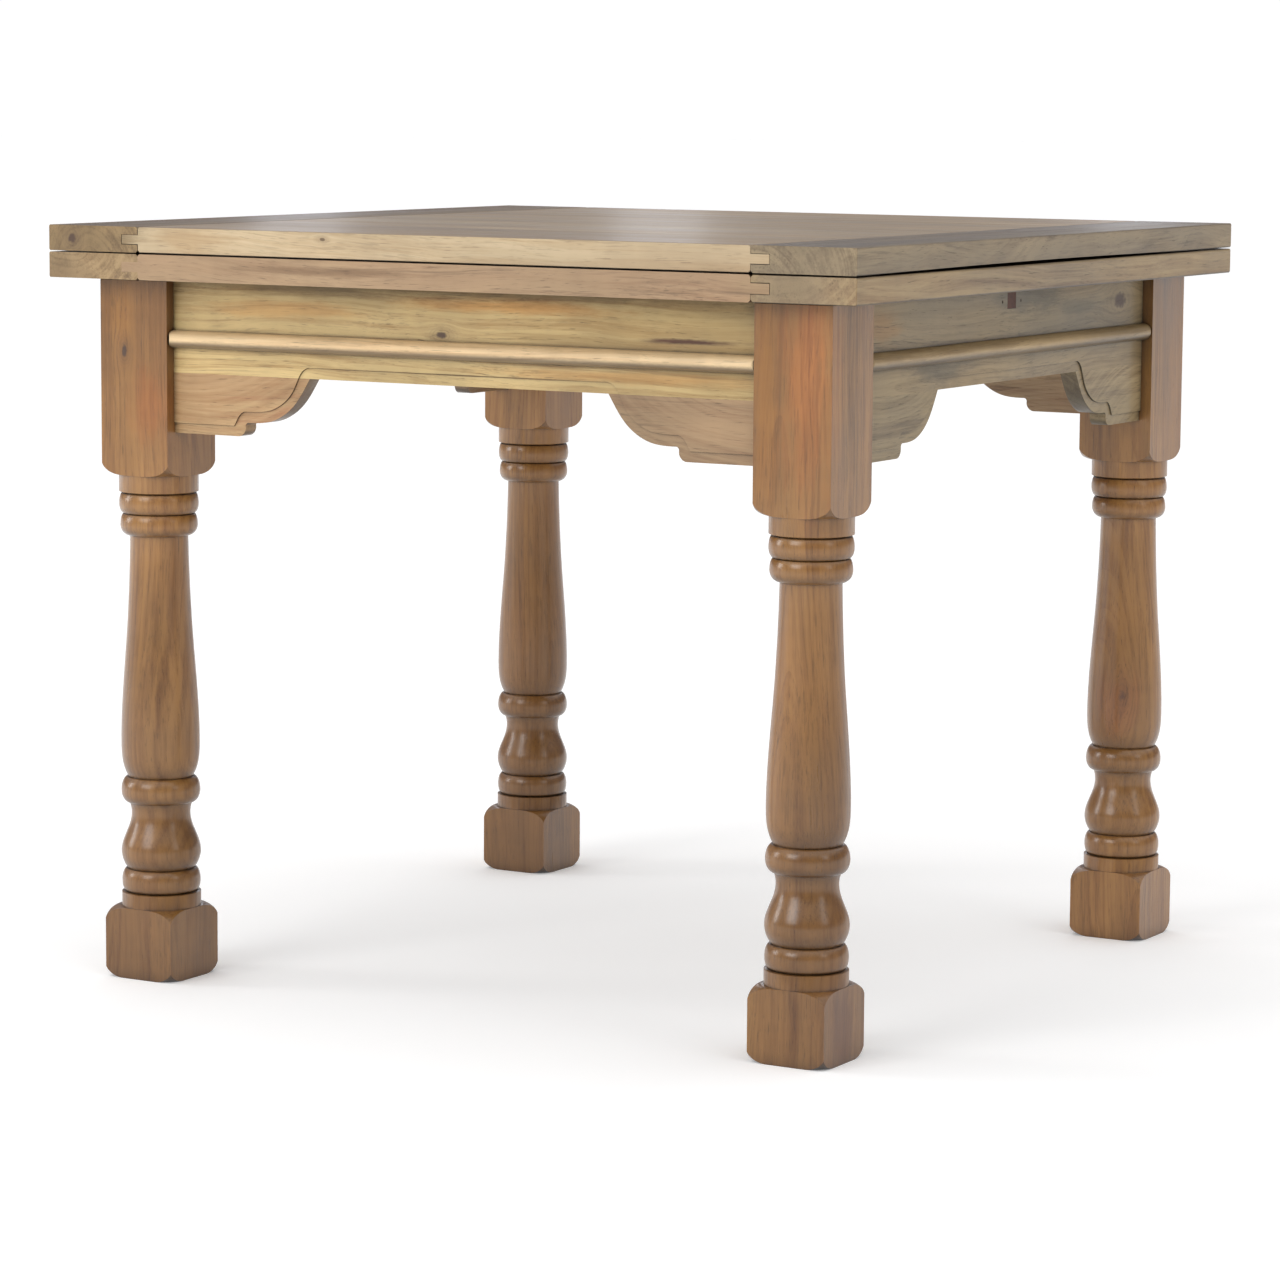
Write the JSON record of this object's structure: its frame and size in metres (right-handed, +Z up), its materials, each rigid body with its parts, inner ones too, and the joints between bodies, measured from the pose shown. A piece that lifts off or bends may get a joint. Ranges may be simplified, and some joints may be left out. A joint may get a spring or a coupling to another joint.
{
  "type": "fold-over table",
  "caption": "Square wooden dining table with turned legs, scrolled brackets and a double top that slides along a rail and unfolds to twice its length.",
  "frame": {"origin": "on the floor under the middle of the closed top", "axes": "+Z up; +X along the slide, from the hinged edge of the top; +Y across the slide, from the front side to the back"},
  "size_m": [0.9283, 0.885, 0.78],
  "materials": {
    "upper_leaf_wood": "satin lacquered mango wood, grey-brown top and pale cream-tan edges",
    "lower_leaf_wood": "satin lacquered mango wood, pinkish tan with dark streaks",
    "leg_wood": "satin lacquered mango wood, golden brown, glossier on the turning",
    "apron_wood": "satin lacquered mango wood, yellow-olive with knots",
    "moulding_wood": "satin lacquered mango wood, pinkish tan",
    "bracket_wood": "satin lacquered mango wood, orange-pink",
    "rail_wood": "reddish brown hardwood, waxed",
    "inner_wood": "unfinished mango wood, matt",
    "brass": "satin brass",
    "zinc_steel": "zinc plated"
  },
  "bodies": {
    "frame": {"apron_back": "apron_wood", "apron_front": "apron_wood", "apron_left": "apron_wood", "apron_right": "apron_wood", "bead_moulding_back": "moulding_wood", "bead_moulding_front": "moulding_wood", "bead_moulding_left": "moulding_wood", "bead_moulding_right": "moulding_wood", "block_screws": "zinc_steel", "bracket_back_left": "bracket_wood", "bracket_back_right": "bracket_wood", "bracket_front_left": "bracket_wood", "bracket_front_right": "bracket_wood", "bracket_left_back": "bracket_wood", "bracket_left_front": "bracket_wood", "bracket_right_back": "bracket_wood", "bracket_right_front": "bracket_wood", "corner_block_back_left": "inner_wood", "corner_block_back_right": "inner_wood", "corner_block_front_left": "inner_wood", "corner_block_front_right": "inner_wood", "leg_back_left": "leg_wood", "leg_back_right": "leg_wood", "leg_bolts": "zinc_steel", "leg_front_left": "leg_wood", "leg_front_right": "leg_wood", "leg_nuts": "zinc_steel", "leg_washers": "zinc_steel", "rail_cleat_left": "inner_wood", "rail_cleat_right": "inner_wood", "rail_nails": "zinc_steel", "slide_rail": "rail_wood"},
    "lower_leaf": {"guide_back": "inner_wood", "guide_front": "inner_wood", "guide_screws": "zinc_steel", "hinge_pin_1": "brass", "hinge_pin_2": "brass", "hinge_pin_3": "brass", "keeper_left": "inner_wood", "keeper_right": "inner_wood", "lower_breadboard_left": "lower_leaf_wood", "lower_breadboard_right": "lower_leaf_wood", "lower_hinge_flap_1": "brass", "lower_hinge_flap_2": "brass", "lower_hinge_flap_3": "brass", "lower_hinge_screws": "brass", "lower_panel": "lower_leaf_wood"},
    "upper_leaf": {"upper_breadboard_left": "upper_leaf_wood", "upper_breadboard_right": "upper_leaf_wood", "upper_hinge_flap_1": "brass", "upper_hinge_flap_2": "brass", "upper_hinge_flap_3": "brass", "upper_hinge_screws": "brass", "upper_panel": "upper_leaf_wood"}
  },
  "joints": [
    {"name": "top_slide", "type": "slide", "parent": "frame", "child": "lower_leaf", "axis": [1, 0, 0], "range_m": [0, 0.4625]},
    {"name": "leaf_fold", "type": "hinge", "parent": "lower_leaf", "child": "upper_leaf", "pos_m": [-0.4628, 0, 0.7533], "axis": [0, -1, 0], "range_deg": [0, 180]}
  ]
}
